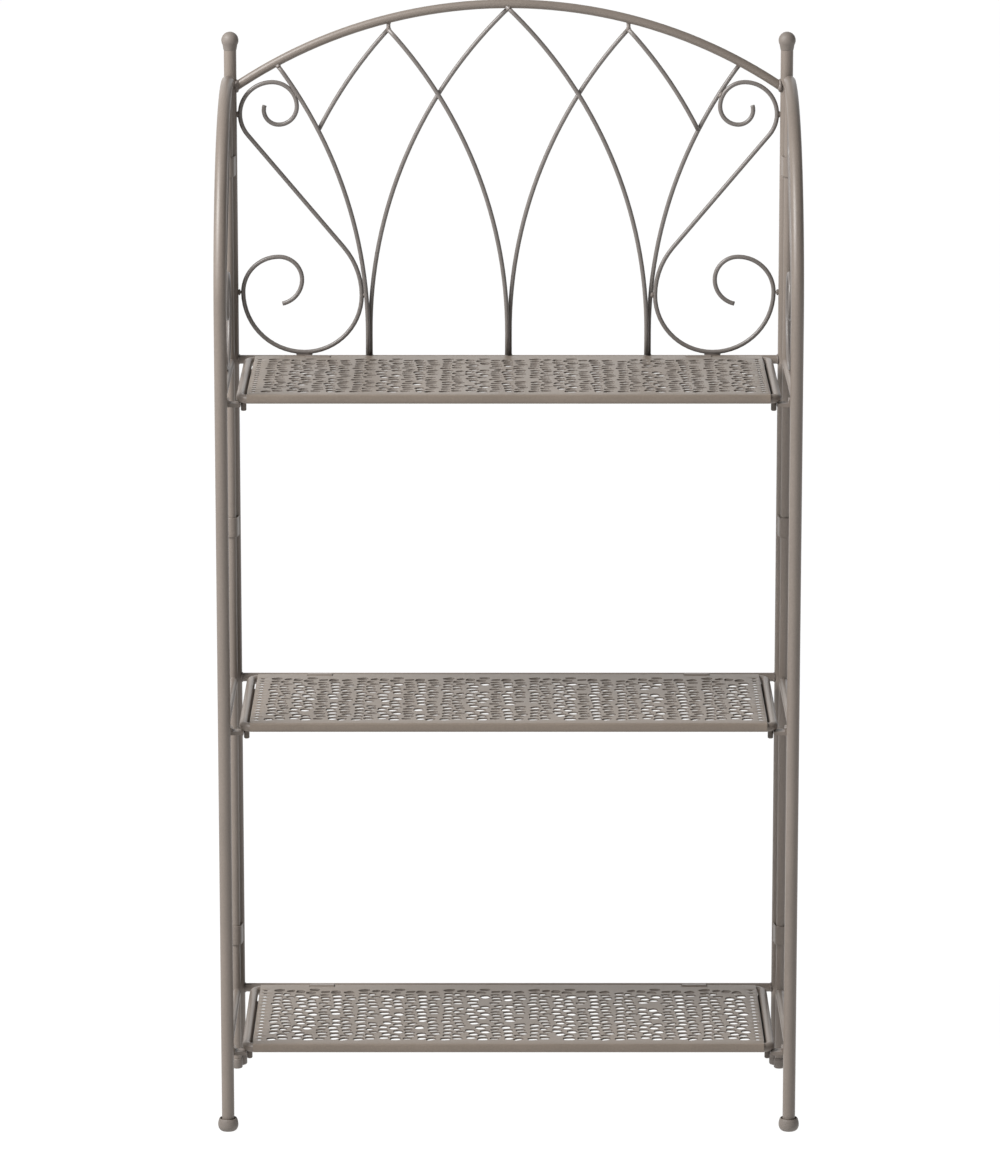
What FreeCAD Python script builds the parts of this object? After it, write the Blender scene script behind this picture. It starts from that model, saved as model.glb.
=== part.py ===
"""Folding three-tier etagere in bent steel tube: a back frame with lancet tracery, two hinged side frames and
three perforated shelves that fold up. Millimetres, +Z up, the front faces -Y, the origin is on the floor below
the middle of the whole piece."""

import FreeCAD, Part
import math
import os
import random

V = FreeCAD.Vector

# Stock
leg_radius = 7.0            # legs and rear posts
bar_radius = 5.0            # arch, crossbars, rails, hinge uprights and shelf frames
wire_radius = 2.5           # tracery and scrolls
pin_radius = 1.5            # short joining pins beside the scrolls
strap_thickness = 1.5       # bent hinge straps and loops
sheet_thickness = 2.0
lip_thickness = 1.2
lug_thickness = 4.0

# Fits
running_clearance = 0.3     # hinge strap round the bar that turns in it
plug_clearance = 0.15       # cap on its tube
seat_gap = 0.3              # shelf frame above its lug
wire_gap = 0.2              # between the two layers of tracery
weld_gap = 1.0              # scroll beside what its pins join it to
volute_gap = 1.4            # volute of a back scroll beside the lancet, seen from the front
curl_gap = 0.5              # curl of a back scroll beside the lancet, seen from the front
scroll_rise = 9.0           # top of a back scroll above the ends of the arch

# Plan
leg_spacing = 627.0         # between the front legs
post_inset = 2.5            # rear post inside the line of its front leg
leg_to_post = 250.0         # front leg to rear post
hinge_setback = 15.5        # rear post to the upright that turns in front of it

# Heights
shelf_bottom_height = 92.0  # middle of the lowest shelf's tube
shelf_pitch = 369.0
shelf_count = 3
side_arc_height = 1147.0    # top of the side frame, at the middle of its tube
leg_end = 2.0               # bent leg past the upright, before its chamfered end
leg_end_chamfer = 3.0
post_height = 1181.0        # where the finial sits
arch_drop = 45.0            # ends of the arch below the top of the posts, at the middle of its tube
arch_rise = 97.0            # crown above its ends
rail_drop = 1.0             # side rail below the shelf's tube

# Tracery
lancet_spacing = 157.0      # between the feet of the lancets
lancet_straight = 30.0      # straight foot below the curve
branch_cross_share = 0.95   # where branch and middle lancet cross, of where that lancet ends

# Scrolls: a curl, a straight back and a volute, as the angle that each bend turns, its radius as a share of the
# volute's largest one, and a name for the place where it ends
scroll_angles = (109, 90, 25, 65, 90, 40, 0, -40, -90, -90, -90, -90, -78)
scroll_radius_shares = (0.24, 0.30, 0.40, 0.40, 0.53, 0.53, 0.0, 1.24, 0.95, 1.0, 0.59, 0.38, 0.41)
scroll_places = (
    "hook", "curl_base", "curl_front", "curl_top", "curl_back", "curl_end", "straight_end",
    "volute_front", "volute_base", "volute_back", "volute_top", "eye_front", "tip",
)
back_straight_share = 2.43  # straight back, of that radius
side_scroll_share = 0.2     # largest radius, of the height between the top rail and the bent leg
side_straight_share = 2.43

# Shelf
shelf_side_gap = 8.5        # between the shelf's side tube and the leg
shelf_setback = 13.0        # shelf's front tube behind the front legs
shelf_corner_radius = 11.0
hinge_gap = 1.5             # shelf's rear tube in front of the crossbar
sheet_slot = 2.5            # open slot beside the shelf's side tubes
sheet_rise = 4.8            # middle of the sheet above the middle of the tube
sheet_lap = 1.5             # sheet behind the middle of the rear tube
lip_drop = 4.0              # lower edge of the folded lip below the middle of the front tube
strap_place_share = 0.733   # of the way from the middle to the shelf's side tube
strap_width = 28.0
strap_seat_radius = 2.8     # inside of the strap's rear end, which the crossbar cuts off
strap_side_gap = 1.0        # sheet beside the strap

# Pierced pattern of the sheet
hole_columns = 15
hole_rows = 5
sheet_border = 12.0
ligament = 9.0
hole_jitter_share = 0.42    # of the ligament
brick_share = 0.25
pattern_seed = 5

# Rest lugs and locating pegs
lug_setback = 8.0           # lug behind the shelf's front tube
lug_width = 14.0
lug_overlap = 5.0           # lug under the shelf's side tube
lug_weld = 1.0              # lug's upright flange past the rail's side
peg_radius = 2.4
peg_inset = 3.5             # peg inside the middle of the side tube
peg_drop = 19.0             # peg below the middle of the shelf's tube

# Side frame hinge loops
loop_height = 22.0
bottom_loop_level = 160.0   # middle of each rear post's lowest loop
middle_loop_level = 640.0
top_loop_level = 1052.0

# Feet
foot_floor = 3.0
front_foot_radius = 11.8
front_foot_height = 15.5
post_foot_radius = 8.5
post_foot_height = 15.0
upright_foot_radius = 6.2
upright_foot_height = 12.0
foot_edge = 1.5

# Squat bulb of a front foot from its sole to its mouth, as shares of its radius and height
front_foot_shares = ((0.66, 0.0), (0.93, 0.12), (1.0, 0.3), (1.0, 0.52), (0.92, 0.76), (0.76, 1.0))

# Finial
finial_ball_radius = 10.0
finial_height = 21.0

# Round sections and bends are drawn with flat sides and short straight lengths
bar_sides = 12
wire_sides = 8
pin_sides = 6
peg_sides = 8
foot_sides = 12
finial_sides = 12
belt_sides = 5
quarter_turn = 90           # degrees
scroll_sagitta = 0.8        # most that a bend's short lengths leave its true curve
lancet_sagitta = 0.8
arch_sagitta = 1.0
leg_sagitta = 0.9
corner_sagitta = 0.4
ball_sagitta = 0.5
ball_low_angle = -30        # degrees from the ball's middle, where its tapered shank starts
ball_top_angle = 75         # where its flat top starts

# Places that follow from the sizes above
front_y = -(leg_to_post + finial_ball_radius - front_foot_radius) / 2
post_y = front_y + leg_to_post
upright_y = post_y - hinge_setback
leg_x = leg_spacing / 2
post_x = leg_x - post_inset
shelf_levels = [shelf_bottom_height + shelf_pitch * step for step in range(shelf_count)]
shelf_names = ["bottom", "middle", "top"]
top_level = shelf_levels[-1]
layer_offset = wire_radius + wire_gap / 2
shelf_front_y = front_y + shelf_setback
shelf_rear_y = post_y - 2 * bar_radius - hinge_gap
loop_levels = (bottom_loop_level, middle_loop_level, top_loop_level)
shelf_side_x = leg_x - leg_radius - shelf_side_gap - bar_radius
strap_x = shelf_side_x * strap_place_share
lug_y = shelf_front_y + lug_setback
strap_bore = bar_radius + running_clearance
strap_outside = strap_bore + strap_thickness
arch_height = post_height - arch_drop + arch_rise
arch_radius = (post_x ** 2 + arch_rise ** 2) / (2 * arch_rise)
arch_centre = (0, arch_height - arch_radius)
bend_height = top_level + lancet_straight
lancet_rise = arch_height - bar_radius - bend_height
lancet_radius = (lancet_spacing ** 2 + lancet_rise ** 2) / (2 * lancet_spacing)


def save(name, shape):
    """Write one sub-part."""
    if not shape.isValid():
        print("not valid:", name)
    shape.exportStep(f"parts/{name}.step")
    print(f"{name}: {len(shape.Solids)} solids, {shape.Volume:.0f} mm3")


def mirrored(shape):
    """The same shape on the other side of the middle."""
    return shape.mirror(V(0, 0, 0), V(1, 0, 0))


def ring(centre, first, second, radius, sides, stretch=1.0):
    """Corners of a many-sided section in the plane of two directions, stretched along the second one."""
    corners = []
    for corner in range(sides):
        turn = 2 * math.pi * (corner + 0.5) / sides
        off = first * (radius * math.cos(turn)) + second * (radius * stretch * math.sin(turn))
        corners.append(centre + off)
    return corners


def skinned(rings):
    """Solid through a row of rings that have as many corners each, with flat ends."""
    faces = [Part.Face(Part.makePolygon(end + [end[0]])) for end in (rings[0], rings[-1])]
    for low, high in zip(rings, rings[1:]):
        for corner in range(len(low)):
            after = (corner + 1) % len(low)
            outline = [low[corner], low[after], high[after], high[corner], low[corner]]
            faces.append(Part.Face(Part.makePolygon(outline)))
    solid = Part.makeSolid(Part.makeShell(faces))
    if solid.Volume < 0:
        solid.reverse()
    return solid


def bend_rings(points, radius, sides, normal):
    """Rings of a bar whose bends lie in the plane across normal, each ring in the mitre of its bend."""
    headings = [(V(after) - V(before)).normalize() for before, after in zip(points, points[1:])]
    rings = []
    for index, point in enumerate(points):
        before = headings[max(index - 1, 0)]
        after = headings[min(index, len(headings) - 1)]
        middle = (before + after).normalize()
        rings.append(ring(point, normal, normal.cross(middle), radius, sides, 1 / middle.dot(after)))
    return rings


def bent_bar(points, radius, sides, normal):
    """Bar along straight lengths with mitred bends, all in one plane."""
    return skinned(bend_rings(points, radius, sides, normal))


def bar(start, end, radius, sides=None):
    """Straight bar between two points."""
    heading = (end - start).normalize()
    across = V(0, 0, 1) if abs(heading.z) < 0.5 else V(1, 0, 0)
    first = heading.cross(across).normalize()
    second = heading.cross(first)
    sides = sides or bar_sides
    return skinned([ring(start, first, second, radius, sides), ring(end, first, second, radius, sides)])


def arc_points(centre, radius, start_turn, end_turn, sagitta):
    """Points of an arc in a plane, in degrees from the first axis, with chords that stay close to it."""
    step = 2 * math.degrees(math.acos(1 - min(sagitta / radius, 1.0)))
    count = max(1, math.ceil(abs(end_turn - start_turn) / step))
    points = []
    for index in range(count + 1):
        turn = math.radians(start_turn + (end_turn - start_turn) * index / count)
        points.append((centre[0] + radius * math.cos(turn), centre[1] + radius * math.sin(turn)))
    return points


def circles_meet(first, first_radius, second, second_radius):
    """The upper of the two points where two circles in a plane meet."""
    run = (second[0] - first[0], second[1] - first[1])
    distance = math.hypot(*run)
    along = (first_radius ** 2 - second_radius ** 2 + distance ** 2) / (2 * distance)
    off = math.sqrt(first_radius ** 2 - along ** 2)
    middle = (first[0] + run[0] * along / distance, first[1] + run[1] * along / distance)
    ends = [(middle[0] + sign * off * -run[1] / distance, middle[1] + sign * off * run[0] / distance)
            for sign in (1, -1)]
    return max(ends, key=lambda end: end[1])


def belt_face(centre_a, radius_a, centre_b, radius_b, normal):
    """Flat face whose outline runs round two circles like a belt, with short sides that clear them."""
    run = centre_b - centre_a
    along = V(run).normalize()
    across = normal.cross(along)
    lean = math.asin((radius_a - radius_b) / run.Length)
    ends = (
        (centre_a, radius_a, math.pi / 2 - lean, math.pi + 2 * lean),
        (centre_b, radius_b, -math.pi / 2 + lean, math.pi - 2 * lean),
    )
    outline = []
    for centre, radius, first, sweep in ends:
        half = sweep / belt_sides / 2
        for side in range(belt_sides):
            turn = first + (2 * side + 1) * half
            out = along * math.cos(turn) + across * math.sin(turn)
            outline.append(centre + out * (radius / math.cos(half)))
    return Part.Face(Part.makePolygon(outline + [outline[0]]))


def belt(centre_a, radius_a, centre_b, radius_b, run, held):
    """Bent strap round two bars, extruded along run and cut back to the bar that holds it."""
    normal = V(run).normalize()
    outside = belt_face(centre_a, radius_a + strap_thickness, centre_b, radius_b + strap_thickness, normal)
    inside = belt_face(centre_a, radius_a, centre_b, radius_b, normal)
    return outside.extrude(run).cut([inside.extrude(run), held])


def turned(profile, x, y, sides):
    """Turned solid from radius and height pairs, lowest first."""
    return skinned([ring(V(x, y, height), V(1, 0, 0), V(0, 1, 0), radius, sides) for radius, height in profile])


def foot_cap(x, y, profile, tube_radius, height):
    """Cap on a tube's foot, with the socket that the tube stands in."""
    cap = turned(profile, x, y, foot_sides)
    socket = bar(V(x, y, foot_floor), V(x, y, 2 * height), tube_radius + plug_clearance)
    return cap.cut(socket)


def plain_foot(x, y, radius, tube_radius, height):
    """Straight cap with small chamfers."""
    profile = [
        (radius - foot_edge, 0), (radius, foot_edge), (radius, height - foot_edge), (radius - foot_edge / 2, height),
    ]
    return foot_cap(x, y, profile, tube_radius, height)


def front_foot(x, y):
    """Squat bulbous cap of a front leg."""
    profile = [(wide * front_foot_radius, high * front_foot_height) for wide, high in front_foot_shares]
    return foot_cap(x, y, profile, leg_radius, front_foot_height)


def finial(x, y):
    """Ball cap whose shank tapers to the post."""
    middle = (0, post_height + finial_height - finial_ball_radius)
    ball = arc_points(middle, finial_ball_radius, ball_low_angle, ball_top_angle, ball_sagitta)
    return turned([(leg_radius, post_height)] + ball, x, y, finial_sides)


def scroll_path(radius, straight):
    """Points of the scroll from its curl's tip, measured from its back edge and its lowest point, and its named
    places."""
    place = (0.0, 0.0)
    heading = -float(scroll_angles[0])
    points = [place]
    places = {}
    for name, angle, share in zip(scroll_places, scroll_angles, scroll_radius_shares):
        if angle == 0:
            run = math.radians(heading)
            place = (place[0] + straight * math.cos(run), place[1] + straight * math.sin(run))
            points.append(place)
        else:
            side = math.copysign(quarter_turn, angle)
            out = math.radians(heading + side)
            bend = share * radius
            centre = (place[0] + bend * math.cos(out), place[1] + bend * math.sin(out))
            start = heading - side
            points += arc_points(centre, bend, start, start + angle, scroll_sagitta)[1:]
            heading += angle
            place = points[-1]
        places[name] = place
    back = min(place[0] for place in points)
    base = min(place[1] for place in points)
    points = [(place[0] - back, place[1] - base) for place in points]
    places = {name: (place[0] - back, place[1] - base) for name, place in places.items()}
    return points, places


def stretched(place, stretches):
    """A place of the scroll, stretched sideways by a factor that changes evenly between those at two heights."""
    (low, low_stretch), (high, high_stretch) = stretches
    share = (place[1] - low) / (high - low)
    return (place[0] * (low_stretch + (high_stretch - low_stretch) * share), place[1])


def fitted_scroll(edge, base, top):
    """The scroll between a height base and a height top, stretched sideways from its back edge so that its volute
    and its curl reach the outer lancet."""
    _, places = scroll_path(1.0, back_straight_share)
    radius = (top - base) / places["curl_top"][1]
    points, places = scroll_path(radius, back_straight_share * radius)
    centre = lancet_centre(lancet_spacing, 1)
    stretches = []
    for station, gap in (("volute_front", volute_gap), ("curl_front", curl_gap)):
        reach, height = places[station]
        rise = max(base + height - bend_height, 0)
        lancet_x = centre[0] - math.sqrt(lancet_radius ** 2 - rise ** 2)
        stretches.append((height, (edge - lancet_x - 2 * wire_radius - gap) / reach))
    points = [stretched(place, stretches) for place in points]
    places = {name: stretched(place, stretches) for name, place in places.items()}
    return points, places


def nearest_on_circle(point, centre, radius):
    """Point of a circle in a plane that lies nearest to another point."""
    distance = math.hypot(point[0] - centre[0], point[1] - centre[1])
    return tuple(centre[axis] + radius * (point[axis] - centre[axis]) / distance for axis in (0, 1))


# Back frame
def lancet_centre(foot, sign):
    """Centre of a lancet's curve, whose foot stands at x = foot and which leans towards sign."""
    return (foot + sign * lancet_radius, bend_height)


def lancet(foot, sign, base=None):
    """One lancet wire from the crossbar, or from the height base, to the arch."""
    centre = lancet_centre(foot, sign)
    y = post_y + sign * layer_offset
    top = circles_meet(centre, lancet_radius, arch_centre, arch_radius - wire_radius)
    end_turn = math.degrees(math.atan2(top[1] - centre[1], top[0] - centre[0]))
    start_turn = 2 * quarter_turn if sign > 0 else 0
    if base:
        start_turn = math.degrees(math.atan2(base[1] - centre[1], base[0] - centre[0]))
        points = []
    else:
        points = [V(foot, y, top_level)]
    for x, z in arc_points(centre, lancet_radius, start_turn, end_turn, lancet_sagitta):
        points.append(V(x, y, z))
    return bent_bar(points, wire_radius, wire_sides, V(0, 1, 0))


def back_frame():
    posts = []
    for x in (post_x, -post_x):
        posts.append(bar(V(x, post_y, foot_floor), V(x, post_y, post_height), leg_radius))
    both_posts = Part.makeCompound(posts)

    crossbars = []
    for level in shelf_levels:
        crossbars.append(bar(V(-post_x, post_y, level), V(post_x, post_y, level), bar_radius).cut(both_posts))

    half_turn = math.degrees(math.asin(post_x / arch_radius))
    crown = arc_points(
        arch_centre, arch_radius, quarter_turn + half_turn, quarter_turn - half_turn, arch_sagitta)
    arch = bent_bar([V(x, post_y, z) for x, z in crown], bar_radius, bar_sides, V(0, 1, 0)).cut(both_posts)

    save("right_post", posts[0])
    save("left_post", posts[1])
    for name, x in (("right", post_x), ("left", -post_x)):
        save(f"{name}_post_foot", plain_foot(x, post_y, post_foot_radius, leg_radius, post_foot_height))
        save(f"{name}_finial", finial(x, post_y))
    for name, shape in zip(shelf_names, crossbars):
        save(f"crossbar_{name}", shape)
    save("top_arch", arch)

    inner = lancet_spacing
    middle_end = circles_meet(lancet_centre(0, 1), lancet_radius, arch_centre, arch_radius - wire_radius)
    branch_offset = 2 * branch_cross_share * middle_end[0]
    wires = {
        "lancet_left_outer": lancet(-inner, -1),
        "lancet_left_inner": lancet(-inner, 1),
        "lancet_middle_left": lancet(0, -1),
        "lancet_middle_right": lancet(0, 1),
        "lancet_right_inner": lancet(inner, -1),
        "lancet_right_outer": lancet(inner, 1),
        "branch_left": lancet(-branch_offset, 1, circles_meet(
            lancet_centre(-inner, -1), lancet_radius, lancet_centre(-branch_offset, 1), lancet_radius)),
        "branch_right": lancet(branch_offset, -1, circles_meet(
            lancet_centre(inner, 1), lancet_radius, lancet_centre(branch_offset, -1), lancet_radius)),
    }
    fixed = Part.makeCompound([arch, crossbars[-1]])
    for name, wire in wires.items():
        save(name, wire.cut(fixed))
    back_scrolls(posts, crossbars[-1], wires)
    hinge_loops(posts[0])
    shelf_straps(crossbars)


def back_scrolls(posts, crossbar, wires):
    """The scroll between each post and the nearest lancet, and the pins that join it to them."""
    edge = post_x - leg_radius - wire_radius - weld_gap
    base = top_level + bar_radius + wire_radius + weld_gap
    top = post_height - arch_drop + scroll_rise
    points, places = fitted_scroll(edge, base, top)
    centre = lancet_centre(lancet_spacing, 1)
    for name, sign, post in (("left", -1, posts[1]), ("right", 1, posts[0])):
        path = [V(sign * (edge - u), post_y, base + w) for u, w in points]
        scroll = bent_bar(path, wire_radius, wire_sides, V(0, 1, 0))
        save(f"{name}_scroll", scroll)
        pins = []
        for station in ("curl_front", "volute_front"):
            place = (edge - places[station][0], base + places[station][1])
            target = nearest_on_circle(place, centre, lancet_radius)
            pins.append(bar(
                V(sign * place[0], post_y, place[1]),
                V(sign * target[0], post_y + sign * layer_offset, target[1]), pin_radius, pin_sides))
        for station in ("curl_back", "volute_back"):
            x, z = sign * (edge - places[station][0]), base + places[station][1]
            pins.append(bar(V(x, post_y, z), V(sign * post_x, post_y, z), pin_radius, pin_sides))
        x, z = sign * (edge - places["volute_base"][0]), base
        pins.append(bar(V(x, post_y, z), V(x, post_y, top_level), pin_radius, pin_sides))
        fixed = Part.makeCompound([post, crossbar, wires[f"lancet_{name}_outer"], scroll])
        save(f"{name}_scroll_pins", Part.makeCompound([pin.cut(fixed) for pin in pins]))


def hinge_loops(post):
    """The loops on each rear post that the side frame's upright turns in."""
    loops = []
    for level in loop_levels:
        base = level - loop_height / 2
        loops.append(belt(
            V(post_x, post_y, base), leg_radius, V(leg_x, upright_y, base), strap_bore, V(0, 0, loop_height), post))
    group = Part.makeCompound(loops)
    save("right_hinge_loops", group)
    save("left_hinge_loops", mirrored(group))


def shelf_straps(crossbars):
    """The two straps on each crossbar that the shelf's rear tube turns in, welded to the crossbar's front."""
    for name, level, crossbar in zip(shelf_names, shelf_levels, crossbars):
        straps = []
        for sign in (-1, 1):
            x = sign * strap_x - strap_width / 2
            straps.append(belt(
                V(x, post_y, level), strap_seat_radius, V(x, shelf_rear_y, level), strap_bore,
                V(strap_width, 0, 0), crossbar))
        save(f"shelf_{name}_hinge_straps", Part.makeCompound(straps))


# Side frames
def both_sides(name, shape):
    """Write a part of the right side frame, and its mirror image for the left one."""
    save(f"right_{name}", shape)
    save(f"left_{name}", mirrored(shape))


def side_frame():
    bend = upright_y - front_y
    normal = V(1, 0, 0)
    path = [V(leg_x, front_y, foot_floor)]
    centre = (upright_y, side_arc_height - bend)
    for y, z in arc_points(centre, bend, 2 * quarter_turn, quarter_turn, leg_sagitta):
        path.append(V(leg_x, y, z))
    crown = path[-1]
    path.append(crown + V(0, leg_end, 0))
    rings = bend_rings(path, leg_radius, bar_sides, normal)
    tip = crown + V(0, leg_end + leg_end_chamfer, 0)
    rings.append(ring(tip, normal, V(0, 0, 1), leg_radius - leg_end_chamfer, bar_sides))
    leg = skinned(rings)

    upright = bar(V(leg_x, upright_y, foot_floor), crown, bar_radius).cut(leg)
    ends = Part.makeCompound([leg, upright])
    rails = []
    for name, level in zip(shelf_names, shelf_levels):
        height = level - rail_drop
        rail = bar(V(leg_x, front_y, height), V(leg_x, upright_y, height), bar_radius).cut(ends)
        both_sides(f"rail_{name}", rail)
        rails.append(rail)
    both_sides("leg", leg)
    both_sides("upright", upright)
    both_sides("front_foot", front_foot(leg_x, front_y))
    both_sides("upright_foot", plain_foot(
        leg_x, upright_y, upright_foot_radius, bar_radius, upright_foot_height))
    side_scroll(leg, upright, rails[-1])
    rest_lugs(rails)


def side_scroll(leg, upright, rail):
    """The scroll above the top rail, and the pins that join it to the upright, the rail and the bend."""
    radius = side_scroll_share * (side_arc_height - top_level)
    points, places = scroll_path(radius, side_straight_share * radius)
    edge = upright_y - bar_radius - wire_radius - weld_gap
    base = top_level - rail_drop + bar_radius + wire_radius + weld_gap
    scroll = bent_bar([V(leg_x, edge - u, base + w) for u, w in points], wire_radius, wire_sides, V(1, 0, 0))
    both_sides("side_scroll", scroll)
    pins = []
    for station in ("curl_back", "volute_back"):
        y, z = edge - places[station][0], base + places[station][1]
        pins.append(bar(V(leg_x, y, z), V(leg_x, upright_y, z), pin_radius, pin_sides))
    y = edge - places["volute_base"][0]
    pins.append(bar(V(leg_x, y, base), V(leg_x, y, top_level - rail_drop), pin_radius, pin_sides))
    y, z = edge - places["curl_top"][0], base + places["curl_top"][1]
    pins.append(bar(V(leg_x, y, z), V(leg_x, y, side_arc_height), pin_radius, pin_sides))
    fixed = Part.makeCompound([leg, upright, rail, scroll])
    solids = []
    for pin in pins:
        pieces = pin.cut(fixed).Solids
        solids.append(min(pieces, key=lambda piece: piece.CenterOfMass.z))
    both_sides("side_scroll_pins", Part.makeCompound(solids))


def rest_lugs(rails):
    """Angle lugs on the inside of the rails, one under each shelf's side tube."""
    tip = shelf_side_x + bar_radius - lug_overlap
    flange = leg_x - bar_radius + lug_weld
    lugs = []
    for level, rail in zip(shelf_levels, rails):
        top = level - bar_radius - seat_gap
        outline = [
            (tip, top), (flange - lug_thickness, top), (flange - lug_thickness, level - rail_drop),
            (flange, level - rail_drop), (flange, top - lug_thickness), (tip, top - lug_thickness), (tip, top),
        ]
        face = Part.Face(Part.makePolygon([V(x, lug_y - lug_width / 2, z) for x, z in outline]))
        lugs.append(face.extrude(V(0, lug_width, 0)).cut(rail))
    both_sides("rest_lugs", Part.makeCompound(lugs))


# Shelves
def shelf_frame(level):
    """Bent tube frame of a shelf, made of two halves that meet in the middle."""
    corner_x = shelf_side_x - shelf_corner_radius
    rear = arc_points(
        (corner_x, shelf_rear_y - shelf_corner_radius), shelf_corner_radius, quarter_turn, 0, corner_sagitta)
    front = arc_points(
        (corner_x, shelf_front_y + shelf_corner_radius), shelf_corner_radius, 0, -quarter_turn, corner_sagitta)
    outline = [(0, shelf_rear_y)] + rear + front + [(0, shelf_front_y)]
    half = bent_bar([V(x, y, level) for x, y in outline], bar_radius, bar_sides, V(0, 0, 1))
    return half.fuse(mirrored(half)).removeSplitter()


def pierced_holes(height, low_x, high_x, low_y, high_y):
    """Outlines of uneven four-sided holes in staggered rows."""
    pick = random.Random(pattern_seed)
    jitter = hole_jitter_share * ligament
    pitch_x = (high_x - low_x) / (hole_columns + 2 * brick_share)
    pitch_y = (high_y - low_y) / hole_rows
    wires = []
    for row in range(hole_rows):
        shift = 2 * brick_share if row % 2 else 0
        for column in range(hole_columns):
            centre_x = low_x + pitch_x * (column + 0.5 + shift)
            centre_y = low_y + pitch_y * (row + 0.5)
            corners = []
            for side_x, side_y in ((-1, -1), (1, -1), (1, 1), (-1, 1)):
                x = centre_x + side_x * (pitch_x - ligament) / 2 + pick.uniform(-1, 1) * jitter
                y = centre_y + side_y * (pitch_y - ligament) / 2 + pick.uniform(-1, 1) * jitter
                corners.append(V(x, y, height))
            wires.append(Part.makePolygon(corners + [corners[0]]))
    return wires


def folded_lip(half_width, top, level):
    """Front edge of the sheet, folded down in front of the frame's front tube."""
    front = shelf_front_y - bar_radius - lip_thickness
    lower = level - lip_drop
    outline = [
        (front, top), (front, lower), (front + lip_thickness, lower), (front + lip_thickness, top - sheet_thickness),
        (shelf_front_y, top - sheet_thickness), (shelf_front_y, top), (front, top),
    ]
    face = Part.Face(Part.makePolygon([V(-half_width, y, z) for y, z in outline]))
    return face.extrude(V(2 * half_width, 0, 0))


def shelf_sheet(level, frame):
    """Pierced sheet, folded down over the front tube, coped to both tubes and notched round the hinge straps."""
    base = level + sheet_rise - sheet_thickness / 2
    half_width = shelf_side_x - bar_radius - sheet_slot
    rear = shelf_rear_y + sheet_lap
    corners = [V(-half_width, shelf_front_y, base), V(half_width, shelf_front_y, base),
               V(half_width, rear, base), V(-half_width, rear, base)]
    outline = Part.makePolygon(corners + [corners[0]])
    edge = bar_radius + sheet_border
    holes = pierced_holes(
        base, sheet_border - half_width, half_width - sheet_border, shelf_front_y + edge, shelf_rear_y - edge)
    face = Part.makeFace([outline] + holes, "Part::FaceMakerBullseye")
    sheet = face.extrude(V(0, 0, sheet_thickness))
    sheet = sheet.fuse(folded_lip(half_width, base + sheet_thickness, level)).removeSplitter()
    strap_corner = strap_outside / math.cos(math.pi / belt_sides / 2)
    reach = math.hypot(sheet_rise + sheet_thickness / 2, strap_corner + running_clearance)
    reach /= math.cos(math.pi / bar_sides)
    notches = []
    for sign in (-1, 1):
        x = sign * strap_x
        half_notch = strap_width / 2 + strap_side_gap
        notches.append(bar(V(x - half_notch, shelf_rear_y, level), V(x + half_notch, shelf_rear_y, level), reach))
    return sheet.cut([frame] + notches)


def shelves():
    for name, level in zip(shelf_names, shelf_levels):
        frame = shelf_frame(level)
        save(f"shelf_{name}_frame", frame)
        save(f"shelf_{name}_sheet", shelf_sheet(level, frame))
        pegs = []
        for sign in (-1, 1):
            x = sign * (shelf_side_x - peg_inset)
            pegs.append(bar(V(x, lug_y, level - peg_drop), V(x, lug_y, level), peg_radius, peg_sides).cut(frame))
        save(f"shelf_{name}_pegs", Part.makeCompound(pegs))


os.makedirs("parts", exist_ok=True)
back_frame()
side_frame()
shelves()
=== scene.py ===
"""Looks of the folding three-tier etagere: smooth bent tube and wire, folded pierced shelves, hinge bands,
welds and a satin powder coat. Metres, in the part's own frame: +Z up, the front faces -Y."""

import math
import random

import bmesh
import bpy
from mathutils import Matrix, Vector
from mathutils.geometry import delaunay_2d_cdt, intersect_sphere_sphere_2d


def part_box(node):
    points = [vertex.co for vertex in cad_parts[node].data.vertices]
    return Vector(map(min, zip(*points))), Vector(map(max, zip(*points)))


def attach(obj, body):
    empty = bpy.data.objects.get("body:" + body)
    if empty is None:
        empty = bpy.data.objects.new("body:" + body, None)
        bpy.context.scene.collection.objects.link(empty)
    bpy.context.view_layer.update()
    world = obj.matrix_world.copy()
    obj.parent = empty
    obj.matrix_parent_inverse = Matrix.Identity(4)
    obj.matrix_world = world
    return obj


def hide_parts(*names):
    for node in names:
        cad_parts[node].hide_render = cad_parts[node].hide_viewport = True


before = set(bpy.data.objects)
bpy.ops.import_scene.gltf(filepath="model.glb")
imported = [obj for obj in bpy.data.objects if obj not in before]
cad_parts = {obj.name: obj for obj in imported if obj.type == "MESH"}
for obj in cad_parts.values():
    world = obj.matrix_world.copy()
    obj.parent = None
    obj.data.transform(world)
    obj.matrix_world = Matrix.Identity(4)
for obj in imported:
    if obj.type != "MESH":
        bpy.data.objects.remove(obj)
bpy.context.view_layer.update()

MM = 0.001

# Stock, as on the part
leg_radius = 7.0 * MM
bar_radius = 5.0 * MM
wire_radius = 2.5 * MM
pin_radius = 1.5 * MM
strap_thickness = 1.5 * MM
running_clearance = 0.3 * MM
weld_gap = 1.0 * MM
wire_gap = 0.2 * MM
foot_floor = 3.0 * MM           # height of the tubes' ends inside the feet

# Finer than on the part
hanger_radius = 2.2 * MM
hanger_shares = (0.8, 1.5, 1.0, 1.0)    # thickness along the stud, from its low end
foot_spread = 1.5 * MM          # the two wires of a foot stand that far to its sides
arch_easing = 0.15 * MM         # keeps the round arch as high as the part's
arch_bead_radius = 1.15 * bar_radius
band_rounding = 0.35 * MM
band_crease = math.radians(35)

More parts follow.
